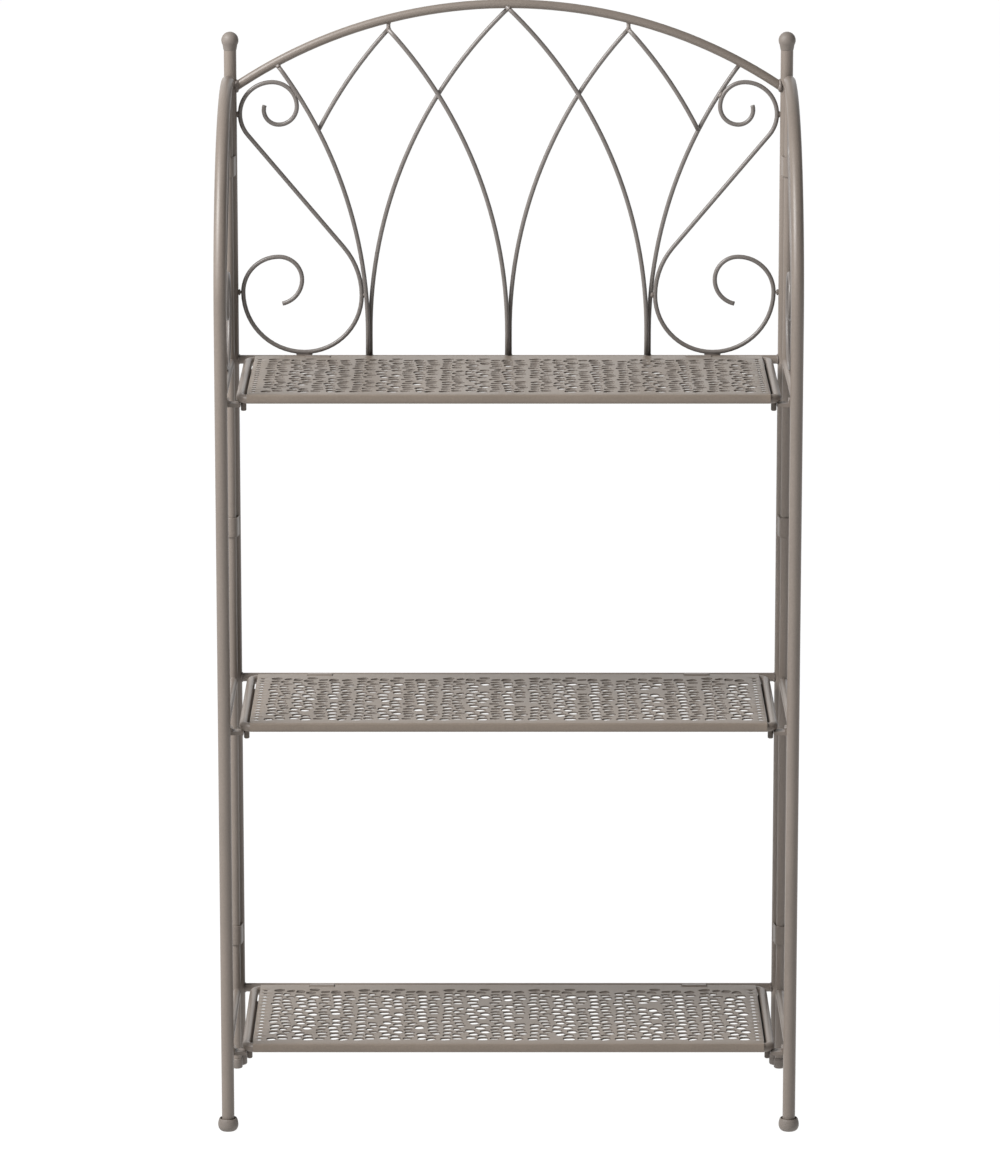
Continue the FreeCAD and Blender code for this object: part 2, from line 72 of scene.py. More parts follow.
# Plan and heights, as on the part
leg_to_post = 250.0 * MM
hinge_setback = 15.5 * MM
shelf_bottom_height = 92.0 * MM
shelf_pitch = 369.0 * MM
side_arc_height = 1147.0 * MM
leg_end = 2.0 * MM
leg_end_round = 3.0 * MM
arch_drop = 45.0 * MM
arch_rise = 97.0 * MM
rail_drop = 1.0 * MM
shelf_setback = 13.0 * MM
shelf_side_gap = 8.5 * MM
shelf_corner_radius = 11.0 * MM
hinge_gap = 1.5 * MM

# Tracery and scrolls, as on the part
lancet_spacing = 157.0 * MM
lancet_straight = 30.0 * MM
branch_cross_share = 0.95
volute_gap = 1.4 * MM
curl_gap = 0.5 * MM
scroll_rise = 9.0 * MM
scroll_angles = (109, 90, 25, 65, 90, 40, 0, -40, -90, -90, -90, -90, -78)
scroll_radius_shares = (0.24, 0.30, 0.40, 0.40, 0.53, 0.53, 0.0, 1.24, 0.95, 1.0, 0.59, 0.38, 0.41)
scroll_places = (
    "hook", "curl_base", "curl_front", "curl_top", "curl_back", "curl_end", "straight_end",
    "volute_front", "volute_base", "volute_back", "volute_top", "eye_front", "tip",
)
back_straight_share = 2.43
side_scroll_share = 0.2
side_straight_share = 2.43

# Hinge bands, as on the part
loop_height = 22.0 * MM
loop_levels = (160.0 * MM, 640.0 * MM, 1052.0 * MM)
loop_seat_radius = 4.6 * MM     # ends of the loops run into the post
strap_place_share = 0.733
strap_width = 28.0 * MM
strap_seat_radius = 2.8 * MM

# Places read from the frame
post_low, post_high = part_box("right_post")
leg_low, leg_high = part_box("right_leg")
post_x = (post_low.x + post_high.x) / 2
leg_x = (leg_low.x + leg_high.x) / 2
post_y = (post_low.y + post_high.y) / 2
post_height = post_high.z
front_y = post_y - leg_to_post
upright_y = post_y - hinge_setback
shelf_names = ("bottom", "middle", "top")
shelf_levels = [shelf_bottom_height + shelf_pitch * step for step in range(len(shelf_names))]
top_level = shelf_levels[-1]
shelf_front_y = front_y + shelf_setback
shelf_rear_y = post_y - 2 * bar_radius - hinge_gap
shelf_side_x = leg_x - leg_radius - shelf_side_gap - bar_radius
layer_offset = wire_radius + wire_gap / 2
strap_x = strap_place_share * shelf_side_x
arch_height = post_height - arch_drop + arch_rise
arch_radius = (post_x ** 2 + arch_rise ** 2) / (2 * arch_rise)
arch_centre = (0, arch_height - arch_radius)
bend_height = top_level + lancet_straight
lancet_rise = arch_height - bar_radius - bend_height
lancet_radius = (lancet_spacing ** 2 + lancet_rise ** 2) / (2 * lancet_spacing)

# Corners of round sections, and steps along arcs in degrees
leg_sides = 36
bar_sides = 28
wire_sides = 16
peg_sides = 16
pin_sides = 12
turned_sides = 40
band_steps = 18
arc_step = 2.5
long_arc_step = 1.5
scroll_step = 6
corner_step = 7.5
quarter_turns = range(0, 91, 15)
half_pi = math.pi / 2
usual_crease = 40       # degrees
soft_crease = 60
sheet_crease = 50
right_first = (("right", 1), ("left", -1))
left_first = (("left", -1), ("right", 1))


# Powder coat: cloudy colour, specks, a fine orange peel, and wear that lightens convex edges
coat_ior = 1.48
cloud_noise = (14.0, 6.0)       # scale and detail
cloud_span = (0.3, 0.7)
speck_noise = (420.0, 3.0)
speck_tones = (0.94, 1.05)
convex_span = (0.53, 0.62)
wear_share = 0.35
worn_tone = 1.35
roughness_spread = (-0.06, 0.08)
peel_noise = (1100.0, 2.0)
peel_depth = 0.4 * MM


def add_node(tree, kind, operation=None, **values):
    """A new node, with its inputs set by name, where _ stands for a space."""
    node = tree.nodes.new(kind)
    if operation:
        node.operation = operation
    for name, value in values.items():
        node.inputs[name.replace("_", " ")].default_value = value
    return node


def add_range(tree, source, start, end):
    """Maps the numbers of one span to those of another."""
    span = add_node(tree, "ShaderNodeMapRange", From_Min=start[0], From_Max=start[1],
                    To_Min=end[0], To_Max=end[1])
    tree.links.new(source, span.inputs["Value"])
    return span.outputs["Result"]


def add_maths(tree, operation, source, *values, kind="ShaderNodeMath"):
    """Works on the numbers of a source, with further values."""
    node = add_node(tree, kind, operation)
    tree.links.new(source, node.inputs[0])
    for socket, value in zip(node.inputs[1:], values):
        socket.default_value = value
    return node.outputs["Value"]


def add_noise(tree, place, scale, detail):
    """Noise over a piece."""
    noise = add_node(tree, "ShaderNodeTexNoise", Scale=scale, Detail=detail)
    tree.links.new(place, noise.inputs["Vector"])
    return noise.outputs["Fac"]


def add_ramp(tree, source, colour, tones, span=(0.0, 1.0)):
    """Two tones of a colour at the ends of a span of numbers."""
    ramp = tree.nodes.new("ShaderNodeValToRGB")
    for element, tone, position in zip(ramp.color_ramp.elements, tones, span):
        element.position = position
        element.color = (*[min(1, c * tone) for c in colour], 1)
    tree.links.new(source, ramp.inputs["Fac"])
    return ramp.outputs["Color"]


def paint(name, colour, roughness, peel=0.06, mottle=0.06):
    """Satin powder coat on metal or plastic."""
    material = bpy.data.materials.new(name)
    material.use_nodes = True
    tree = material.node_tree
    link = tree.links.new
    shader = tree.nodes["Principled BSDF"]
    shader.inputs["Metallic"].default_value = 0.0
    shader.inputs["IOR"].default_value = coat_ior
    place = tree.nodes.new("ShaderNodeTexCoord").outputs["Object"]

    cloud = add_noise(tree, place, *cloud_noise)
    speck = add_range(tree, add_noise(tree, place, *speck_noise), cloud_span, speck_tones)
    grained = add_node(tree, "ShaderNodeVectorMath", "SCALE")
    link(add_ramp(tree, cloud, colour, (1 - mottle, 1 + mottle), cloud_span), grained.inputs[0])
    link(speck, grained.inputs["Scale"])

    convex = tree.nodes.new("ShaderNodeNewGeometry").outputs["Pointiness"]
    worn = tree.nodes.new("ShaderNodeMix")
    worn.data_type = "RGBA"
    worn.inputs["B"].default_value = (*[min(1, c * worn_tone) for c in colour], 1)
    link(add_range(tree, convex, convex_span, (0.0, wear_share)), worn.inputs["Factor"])
    link(grained.outputs["Vector"], worn.inputs["A"])
    link(worn.outputs["Result"], shader.inputs["Base Color"])

    rough = [roughness + spread for spread in roughness_spread]
    link(add_range(tree, cloud, (0.0, 1.0), rough), shader.inputs["Roughness"])
    bump = add_node(tree, "ShaderNodeBump", Strength=peel, Distance=peel_depth)
    link(add_noise(tree, place, *peel_noise), bump.inputs["Height"])
    link(bump.outputs["Normal"], shader.inputs["Normal"])
    return material


steel_paint = paint("taupe_powder_coat", (0.178, 0.149, 0.127), 0.42)
wire_paint = paint("taupe_wire_coat", (0.158, 0.141, 0.130), 0.36)
sheet_paint = paint("taupe_sheet_coat", (0.180, 0.146, 0.117), 0.46, peel=0.09)
# Dark coat painted where shade falls: the hole walls and rims, the slots beside the side tubes, and the pegs
shade_paint = paint("painted_shade_coat", (0.104, 0.086, 0.072), 0.6)
weld_paint = paint("taupe_weld_coat", (0.168, 0.142, 0.125), 0.46, peel=0.25, mottle=0.1)
foot_plastic = paint("taupe_foot_plastic", (0.172, 0.148, 0.130), 0.55, peel=0.12)


# Mesh helpers
def add_object(name, data):
    """A new object in the scene."""
    item = bpy.data.objects.new(name, data)
    bpy.context.scene.collection.objects.link(item)
    return item


def crisp_edges(bm, crease):
    """Keeps edges sharper than an angle crisp under smooth shading."""
    for edge in bm.edges:
        edge.smooth = edge.calc_face_angle(0) < math.radians(crease)


def make_piece(name, body, shape, material, replaces=(), crease=None):
    """A smooth object that rides on a body; shape is its vertices and faces. With a crease, in degrees, its
    sharper edges stay crisp."""
    vertices, faces = shape
    mesh = bpy.data.meshes.new(name)
    mesh.from_pydata([tuple(v) for v in vertices], [], faces)
    mesh.validate()
    piece = add_object(name, mesh)
    mesh.materials.append(material)
    for polygon in mesh.polygons:
        polygon.use_smooth = True
    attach(piece, body)
    if replaces:
        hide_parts(*replaces)
    if crease:
        bm = bmesh.new()
        bm.from_mesh(mesh)
        bmesh.ops.recalc_face_normals(bm, faces=bm.faces)
        crisp_edges(bm, crease)
        bm.to_mesh(mesh)
        bm.free()
    return piece


def joined(parts):
    """Vertices and faces of several meshes as one."""
    vertices, faces = [], []
    for more_vertices, more_faces in parts:
        shift = len(vertices)
        vertices += list(more_vertices)
        faces += [tuple(index + shift for index in face) for face in more_faces]
    return vertices, faces


def ring_faces(rings, sides, closed=False):
    """Faces between rings of vertices in turn, with flat ends unless the last ring meets the first."""
    faces = []
    for ring in range(rings if closed else rings - 1):
        here, after = ring * sides, (ring + 1) % rings * sides
        for corner in range(sides):
            beside = (corner + 1) % sides
            faces.append((here + corner, here + beside, after + beside, after + corner))
    if not closed:
        faces.append(tuple(reversed(range(sides))))
        faces.append(tuple((rings - 1) * sides + corner for corner in range(sides)))
    return faces


def on_turn(turn):
    """Direction in a plane at a turn from its first axis."""
    return Vector((math.cos(turn), math.sin(turn)))


def round_turns(sides):
    """Direction of each corner of a round section."""
    return [on_turn(2 * math.pi * corner / sides) for corner in range(sides)]


def axes_round(heading):
    """A heading of length 1, and two directions square to it and to each other."""
    heading = Vector(heading).normalized()
    first = heading.orthogonal().normalized()
    return heading, first, heading.cross(first)


def tube(points, radii, sides=bar_sides, closed=False):
    """Round tube along points, with one radius or a list of them, and flat ends; the rings keep their turn
    along the path."""
    points = [Vector(p) for p in points]
    around = [points[-1]] + points + [points[0]] if closed else [points[0]] + points + [points[-1]]
    headings = [(after - before).normalized() for before, after in zip(around, around[2:])]
    normal = headings[0].orthogonal().normalized()
    vertices = []
    for index, (point, heading) in enumerate(zip(points, headings)):
        normal = (normal - heading * normal.dot(heading)).normalized()
        across = heading.cross(normal)
        radius = radii[index] if isinstance(radii, list) else radii
        vertices += [point + (normal * cos + across * sin) * radius for cos, sin in round_turns(sides)]
    return vertices, ring_faces(len(points), sides, closed)


def bar(node, body, points, radii=bar_radius, sides=bar_sides, crease=usual_crease):
    """A round steel bar that stands for one node."""
    make_piece(f"{node}_tube", body, tube(points, radii, sides), steel_paint, [node], crease)


def wire(node, body, points):
    """A round wire that stands for one node."""
    make_piece(f"{node}_wire", body, tube(points, wire_radius, wire_sides), wire_paint, [node])


def lathe(profile, x, y, sides=turned_sides):
    """Turned shape from radius and height pairs, lowest first."""
    vertices = [(x + radius * cos, y + radius * sin, height)
                for radius, height in profile for cos, sin in round_turns(sides)]
    return vertices, ring_faces(len(profile), sides)


def arc_points(centre, radius, start_turn, end_turn, step=arc_step):
    """Points of an arc in a plane, in degrees from the first axis."""
    count = max(1, math.ceil(abs(end_turn - start_turn) / step))
    turns = [start_turn + (end_turn - start_turn) * index / count for index in range(count + 1)]
    return [Vector(centre) + on_turn(math.radians(turn)) * radius for turn in turns]


def quarter_round(radius, turns=quarter_turns):
    """How far a rounded edge has gone on, and how far in, after each of its turns."""
    angles = [math.radians(turn) for turn in turns]
    return [(radius * math.sin(angle), radius * (1 - math.cos(angle))) for angle in angles]


def turn_from(middle, place):
    """Direction from one place of a plane to another."""
    return math.atan2(place[1] - middle[1], place[0] - middle[0])


def circles_meet(first, first_radius, second, second_radius):
    """The upper of the two points where two circles in a plane meet."""
    ends = intersect_sphere_sphere_2d(first, first_radius, second, second_radius)
    return max(ends, key=lambda end: end.y)


def changed(points, places, change):
    """A scroll's points and named places, each changed alike."""
    return [change(point) for point in points], {name: change(place) for name, place in places.items()}


def scroll_path(radius, straight):
    """Points of the scroll from its curl's tip, measured from its back edge and its lowest point, and its
    named places."""
    heading = -scroll_angles[0]
    points = [Vector((0, 0))]
    places = {}
    for name, angle, share in zip(scroll_places, scroll_angles, scroll_radius_shares):
        if angle:
            start = heading - math.copysign(90, angle)
            middle = points[-1] - on_turn(math.radians(start)) * (share * radius)
            points += arc_points(middle, share * radius, start, start + angle, scroll_step)[1:]
        else:
            points.append(points[-1] + on_turn(math.radians(heading)) * straight)
        heading += angle
        places[name] = points[-1]
    corner = Vector((min(point.x for point in points), min(point.y for point in points)))
    return changed(points, places, lambda place: place - corner)


def placed(points, places, edge, base):
    """A scroll's points and named places, with its back edge and its lowest point moved to the given ones."""
    return changed(points, places, lambda place: (edge - place[0], base + place[1]))


def stretched(place, stretches):
    """A place of the scroll, stretched sideways by a factor that changes evenly between two heights."""
    (low, low_stretch), (high, high_stretch) = stretches
    share = (place[1] - low) / (high - low)
    return (place[0] * (low_stretch + (high_stretch - low_stretch) * share), place[1])


def fitted_scroll(edge, base, top):
    """The scroll between two heights, stretched so that its volute and curl reach the outer lancet."""
    _, places = scroll_path(1.0, back_straight_share)
    radius = (top - base) / places["curl_top"][1]
    points, places = scroll_path(radius, back_straight_share * radius)
    centre = lancet_centre(lancet_spacing, 1)
    stretches = []
    for station, gap in (("volute_front", volute_gap), ("curl_front", curl_gap)):
        reach, height = places[station]
        rise = max(base + height - bend_height, 0)
        lancet_x = centre[0] - math.sqrt(lancet_radius ** 2 - rise ** 2)
        stretches.append((height, (edge - lancet_x - 2 * wire_radius - gap) / reach))
    points, places = changed(points, places, lambda place: stretched(place, stretches))
    return placed(points, places, edge, base)


def nearest_on_circle(point, centre, radius):
    """Point of a circle in a plane that lies nearest to another point."""
    return Vector(centre) + (Vector(point) - Vector(centre)).normalized() * radius


# Welds: rings where a bar ends on another, by their thickness, and drops in a gap, by reach and thickness
bead_random = random.Random(11)
beads = {}
bead_rings, bead_sides = 20, 8
bead_sizes = {
    "wire_foot": 0.65 * MM, "wire_top": 1.1 * MM, "stud": 0.9 * MM, "crossbar": 1.5 * MM, "arch": 3.0 * MM,
    "rail_front": 1.5 * MM, "rail_rear": 1.3 * MM, "upright": 1.4 * MM,
}
bead_seat = 0.92                        # where a ring's middle lies, as a share of the bar's radius
bead_width, bead_height = 0.75, 0.8     # of its section, as shares of its thickness
bead_wave, bead_lump = 0.22, 0.14
blob_rings, blob_sides = 9, 12
blob_sizes = {"lancet": (3.4 * MM, 2.3 * MM), "post": (3.6 * MM, 1.6 * MM), "crossbar": (9.5 * MM, 1.9 * MM)}
blob_lump = 0.08


def bead(body, place, heading, radius, kind):
    """A lumpy ring of weld where a bar of that radius ends on another, kept for one mesh per body."""
    heading, first, second = axes_round(heading)
    vertices = []
    drift = bead_random.uniform(0, 6)
    for ring in range(bead_rings):
        turn = 2 * math.pi * ring / bead_rings
        out = first * math.cos(turn) + second * math.sin(turn)
        lump = 1 + bead_wave * math.sin(3 * turn + drift) + bead_random.uniform(-bead_lump, bead_lump)
        swell = bead_sizes[kind] * lump
        for cos, sin in round_turns(bead_sides):
            reach = radius * bead_seat + swell * bead_width * cos
            vertices.append(Vector(place) + out * reach + heading * (swell * bead_height * sin))
    beads.setdefault(body, []).append((vertices, ring_faces(bead_rings, bead_sides, closed=True)))


def weld_blob(place, heading, kind):
    """An uneven drop of weld, longest along its heading, in the gap between two bars of the back frame."""
    heading, first, second = axes_round(heading)
    reach, thickness = blob_sizes[kind]
    vertices = []
    for ring in range(blob_rings):
        along = math.cos(math.pi * (ring + 0.5) / blob_rings)
        swell = math.sqrt(1 - along ** 2) * thickness * (1 + bead_random.uniform(-blob_lump, blob_lump))
        middle = Vector(place) - heading * (along * reach)
        vertices += [middle + (first * cos + second * sin) * swell for cos, sin in round_turns(blob_sides)]
    beads.setdefault("back_frame", []).append((vertices, ring_faces(blob_rings, blob_sides)))


# Back frame
def in_back(points, y=post_y):
    """Points of the back frame's plane in space."""
    return [Vector((x, y, z)) for x, z in points]


def lancet_centre(foot, sign):
    """Centre of a lancet's curve, whose foot stands at x = foot and which leans towards sign."""
    return (foot + sign * lancet_radius, bend_height)


def lancet(name, foot, sign, base=None, tip=None):
    """One lancet wire from the crossbar, or from the place base, into the arch, or up to the place tip."""
    centre = lancet_centre(foot, sign)
    y = post_y + sign * layer_offset
    top = tip or circles_meet(centre, lancet_radius, arch_centre, arch_radius - bar_radius / 2)
    end_turn = math.degrees(turn_from(centre, top))
    if base:
        start_turn = math.degrees(turn_from(centre, base))
        points = []
    else:
        start_turn = 180.0 if sign > 0 else 0.0
        points = in_back([(foot, top_level + bar_radius / 2)], y)
        low_end = (foot + sign * foot_spread, y, top_level + bar_radius)
        bead("back_frame", low_end, (0, 0, 1), wire_radius, "wire_foot")
    points += in_back(arc_points(centre, lancet_radius, start_turn, end_turn, long_arc_step), y)
    if not base:
        for point in points:
            point.x += sign * foot_spread * (arch_height - point.z) / (arch_height - top_level)
    wire(name, "back_frame", points)
    if not tip:
        joint = circles_meet(centre, lancet_radius, arch_centre, arch_radius - bar_radius)
        bead("back_frame", (joint[0], y, joint[1]), points[-1] - points[-2], wire_radius, "wire_top")


def posts_and_bars():
    """Posts, crossbars and the arch."""
    for name, sign in right_first:
        ends = in_back([(sign * post_x, foot_floor), (sign * post_x, post_height)])
        bar(f"{name}_post", "back_frame", ends, leg_radius, leg_sides)
    side = post_x - leg_radius
    for name, level in zip(shelf_names, shelf_levels):
        reach = post_x - leg_radius / 2
        bar(f"crossbar_{name}", "back_frame", in_back([(-reach, level), (reach, level)]))
        for sign in (-1, 1):
            bead("back_frame", (sign * side, post_y, level), (1, 0, 0), bar_radius, "crossbar")
    half_turn = math.degrees(math.asin(post_x / arch_radius))
    crown = arc_points(arch_centre, arch_radius - arch_easing, 90 + half_turn, 90 - half_turn, long_arc_step)
    bar("top_arch", "back_frame", in_back(crown), crease=None)
    height = arch_centre[1] + math.sqrt(arch_radius ** 2 - side ** 2)
    for sign in (-1, 1):
        bead("back_frame", (sign * side, post_y, height), (1, 0, 0), arch_bead_radius, "arch")


def hanger(tip):
    """The short stud that holds a pair of wires, which meet below the arch, and the weld round their ends."""
    above = arch_centre[1] + math.sqrt((arch_radius - bar_radius / 2) ** 2 - tip[0] ** 2)
    heights = (tip[1] - hanger_radius, tip[1], tip[1] + hanger_radius, above)
    path = in_back([(tip[0], height) for height in heights])
    radii = [hanger_radius * share for share in hanger_shares]
    beads.setdefault("back_frame", []).append(tube(path, radii, wire_sides))
    bead("back_frame", path[-1] - Vector((0, 0, bar_radius / 2)), (0, 0, 1), hanger_radius, "stud")


def tracery():
    """The lancets and the two short branches."""
    inner = lancet_spacing
    middle_end = circles_meet(lancet_centre(0, 1), lancet_radius, arch_centre, arch_radius - wire_radius)
    branch_offset = 2 * branch_cross_share * middle_end[0]
    lancet("lancet_left_outer", -inner, -1)
    lancet("lancet_left_inner", -inner, 1)
    lancet("lancet_right_inner", inner, -1)
    lancet("lancet_right_outer", inner, 1)
    for name, sign in left_first:
        branch_centre = lancet_centre(sign * branch_offset, -sign)
        base, tip = [circles_meet(lancet_centre(foot, sign), lancet_radius, branch_centre, lancet_radius)
                     for foot in (sign * inner, 0)]
        lancet(f"branch_{name}", sign * branch_offset, -sign, base, tip)
        lancet(f"lancet_middle_{name}", 0, sign, tip=tip)
        hanger(tip)


def round_pin(start, end):
    """A short joining pin."""
    return tube([start, end], pin_radius, pin_sides)


def back_scrolls():
    """The scroll beside each post, and the pins and welds that join it to its neighbours."""
    edge = post_x - leg_radius - wire_radius - weld_gap
    base = top_level + bar_radius + wire_radius + weld_gap
    points, places = fitted_scroll(edge, base, post_height - arch_drop + scroll_rise)
    centre = lancet_centre(lancet_spacing, 1)
    for name, sign in left_first:
        wire(f"{name}_scroll", "back_frame", in_back([(sign * x, z) for x, z in points]))
        pins = []
        for station in ("curl_front", "volute_front"):
            span = (places[station], nearest_on_circle(places[station], centre, lancet_radius))
            near, far = in_back([(sign * x, z) for x, z in span])
            pins.append(round_pin(near, far + Vector((0, sign * layer_offset, 0))))
            weld_blob((near + far) / 2, (far - near).cross(Vector((0, 1, 0))), "lancet")
        for station in ("curl_back", "volute_back"):
            x, z = places[station]
            pins.append(round_pin((sign * x, post_y, z), (sign * (post_x - leg_radius / 2), post_y, z)))
            weld_blob((sign * (edge + wire_radius), post_y, z), (0, 0, 1), "post")
        x = sign * places["volute_base"][0]
        weld_blob((x, post_y, base - wire_radius), (1, 0, 0), "crossbar")
        pins.append(round_pin((x, post_y, base), (x, post_y, top_level + bar_radius / 2)))
        make_piece(f"{name}_scroll_rods", "back_frame", joined(pins), weld_paint, [f"{name}_scroll_pins"])


# Seam between a finial and its post: how far each ring stands out from the post and above the low end
finial_seam = ((-0.4 * MM, -0.4 * MM), (0.1 * MM, 0.1 * MM), (0.3 * MM, 0.6 * MM))
finial_turns = range(-30, 91, 6)
finial_tip = 0.2 * MM


def finials():
    """Pear-shaped caps on the posts: a tapered shank under a ball, with a fine seam above the post."""
    for name, sign in left_first:
        low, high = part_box(f"{name}_finial")
        ball = high.y - post_y
        centre = high.z - ball
        profile = [(leg_radius + out, low.z + rise) for out, rise in finial_seam]
        for angle in finial_turns:
            turn = math.radians(angle)
            profile.append((max(ball * math.cos(turn), finial_tip), centre + ball * math.sin(turn)))
        make_piece(f"{name}_ball_cap", "back_frame", lathe(profile, sign * post_x, post_y), foot_plastic,
                   [f"{name}_finial"])


def belt_outline(centre_a, radius_a, centre_b, radius_b):
    """Points round two circles like a belt, in a plane: inner and outer lines, matched one to one."""
    facing = turn_from(centre_a, centre_b)
    lean = math.asin((radius_a - radius_b) / math.dist(centre_a, centre_b))
    inner, outer = [], []
    for centre, radius, first, sweep in (
            (centre_a, radius_a, half_pi - lean, math.pi + 2 * lean),
            (centre_b, radius_b, lean - half_pi, math.pi - 2 * lean)):
        for step in range(band_steps + 1):
            out = on_turn(facing + first + sweep * step / band_steps)
            inner.append(Vector(centre) + out * radius)
            outer.append(Vector(centre) + out * (radius + strap_thickness))
    return inner, outer


def band(inner, outer, start, width, axes):
    """Flat metal band between two matched outlines. For each axis in space, axes names a point's first or
    second number, or its place along the width."""
    vertices = []
    for line, place in ((inner, start), (outer, start), (outer, start + width), (inner, start + width)):
        vertices += [[(*point, place)[axis] for axis in axes] for point in line]
    return vertices, ring_faces(4, len(inner), closed=True)


def crisp_bands(name, parts, node):
    """Flat bands as one piece of the back frame, with slightly rounded edges."""
    piece = make_piece(name, "back_frame", joined(parts), steel_paint, [node], usual_crease)
    modifier = piece.modifiers.new("Rounded edges", "BEVEL")
    modifier.width = band_rounding
    modifier.segments = 2
    modifier.limit_method = "ANGLE"
    modifier.angle_limit = band_crease
    modifier.harden_normals = False


def hinge_bands():
    """The loops that hold the side frames, and the straps that hold the shelves."""
    hold_radius = bar_radius + running_clearance
    for name, sign in right_first:
        lines = belt_outline((sign * post_x, post_y), loop_seat_radius,
                             (sign * leg_x, upright_y), hold_radius)
        parts = [band(*lines, level - loop_height / 2, loop_height, (0, 1, 2)) for level in loop_levels]
        crisp_bands(f"{name}_hinge_bands", parts, f"{name}_hinge_loops")
    for name, level in zip(shelf_names, shelf_levels):
        lines = belt_outline((post_y, level), strap_seat_radius, (shelf_rear_y, level), hold_radius)
        starts = [sign * strap_x - strap_width / 2 for sign in (-1, 1)]
        parts = [band(*lines, start, strap_width, (2, 0, 1)) for start in starts]
        crisp_bands(f"shelf_{name}_hinge_bands", parts, f"shelf_{name}_hinge_straps")


# Side frames
def on_side(sign, points):
    """Points of a side frame's plane in space."""
    return [Vector((sign * leg_x, y, z)) for y, z in points]


def side_frames():
    """Bent leg, upright, rails and scroll of each side."""
    bend = upright_y - front_y
    curve = arc_points((upright_y, side_arc_height - bend), bend, 180, 90)
    for name, sign in right_first:
        body = f"{name}_side_frame"
        x = sign * leg_x
        path = on_side(sign, [(front_y, foot_floor)] + curve)
        radii = [leg_radius] * len(path)
        for onward, inward in quarter_round(leg_end_round):
            path.append(Vector((x, upright_y + leg_end + onward, side_arc_height)))
            radii.append(leg_radius - inward)
        bar(f"{name}_leg", body, path, radii, leg_sides, soft_crease)
        ends = on_side(sign, [(upright_y, foot_floor), (upright_y, side_arc_height - leg_radius / 2)])
        bar(f"{name}_upright", body, ends)
        bead(body, (x, upright_y, side_arc_height - leg_radius), (0, 0, 1), bar_radius, "upright")
        for level_name, level in zip(shelf_names, shelf_levels):
            height = level - rail_drop
            ends = on_side(sign, [(front_y + leg_radius / 2, height), (upright_y - bar_radius / 2, height)])
            bar(f"{name}_rail_{level_name}", body, ends)
            bead(body, (x, front_y + leg_radius, height), (0, 1, 0), bar_radius, "rail_front")
            bead(body, (x, upright_y - bar_radius, height), (0, 1, 0), bar_radius, "rail_rear")
        side_scroll(name, sign, body)


def side_scroll(name, sign, body):
    """The scroll above the top rail of one side, and its pins."""
    radius = side_scroll_share * (side_arc_height - top_level)
    edge = upright_y - bar_radius - wire_radius - weld_gap
    base = top_level - rail_drop + bar_radius + wire_radius + weld_gap
    points, places = placed(*scroll_path(radius, side_straight_share * radius), edge, base)
    wire(f"{name}_side_scroll", body, on_side(sign, points))
    spans = []
    for station in ("curl_back", "volute_back"):
        y, z = places[station]
        spans.append(((y, z), (upright_y - bar_radius / 2, z)))
    y = places["volute_base"][0]
    spans.append(((y, base), (y, top_level - rail_drop + bar_radius / 2)))
    y, z = places["curl_top"]
    bend = upright_y - front_y
    arc_z = side_arc_height - bend + math.sqrt((bend - leg_radius / 2) ** 2 - (upright_y - y) ** 2)
    spans.append(((y, z), (y, arc_z)))
    pins = joined([round_pin(*on_side(sign, span)) for span in spans])
    make_piece(f"{name}_side_scroll_rods", body, pins, weld_paint, [f"{name}_side_scroll_pins"])


# Front foot from its sole over its shoulder and down into its mouth, as shares of its radius and height, and
# the ribs in its mouth
front_foot_shares = (
    (0.30, 0.0), (0.64, 0.0), (0.72, 0.02), (0.84, 0.09), (0.93, 0.20), (0.985, 0.33), (1.0, 0.44),
    (0.995, 0.54), (0.975, 0.64), (0.945, 0.74), (0.905, 0.83), (0.87, 0.89), (0.84, 0.92), (0.81, 0.925),
    (0.785, 0.91), (0.77, 0.86), (0.765, 0.50), (0.30, 0.50),
)
front_foot_sides = 48
foot_ribs = 10
rib_width = 1.3 * MM
rib_inner = (-0.3 * MM, 0.4, 0.72)      # how far out from the leg, and its ends as shares of the height
rib_outer = (1.7 * MM, 0.4, 0.84)

# Rear foot: its rounded edge, and the rings of its rim by how far they stand in or out and down
rear_foot_sides = 12        # of the part's caps
sole_share = 0.2
rear_foot_round = 1.5 * MM
rear_foot_rim = ((0.0, 1.0 * MM), (0.4 * MM, 0.2 * MM))
mouth_rim = ((0.3 * MM, 0.0), (0.1 * MM, 1.5 * MM))


def foot_rib(x, turn, height):
    """One short rib between a front leg and the wall of its cap."""
    out = on_turn(turn).to_3d()
    across = Vector((-out.y, out.x, 0)) * (rib_width / 2)
    vertices = []
    for reach, low, high in (rib_inner, rib_outer):
        for side in (-1, 1):
            for share in (low, high):
                foot = Vector((x, front_y, share * height))
                vertices.append(foot + out * (leg_radius + reach) + across * side)
    faces = [(0, 1, 3, 2), (4, 6, 7, 5), (0, 4, 5, 1), (2, 3, 7, 6), (1, 5, 7, 3), (0, 2, 6, 4)]
    return vertices, faces


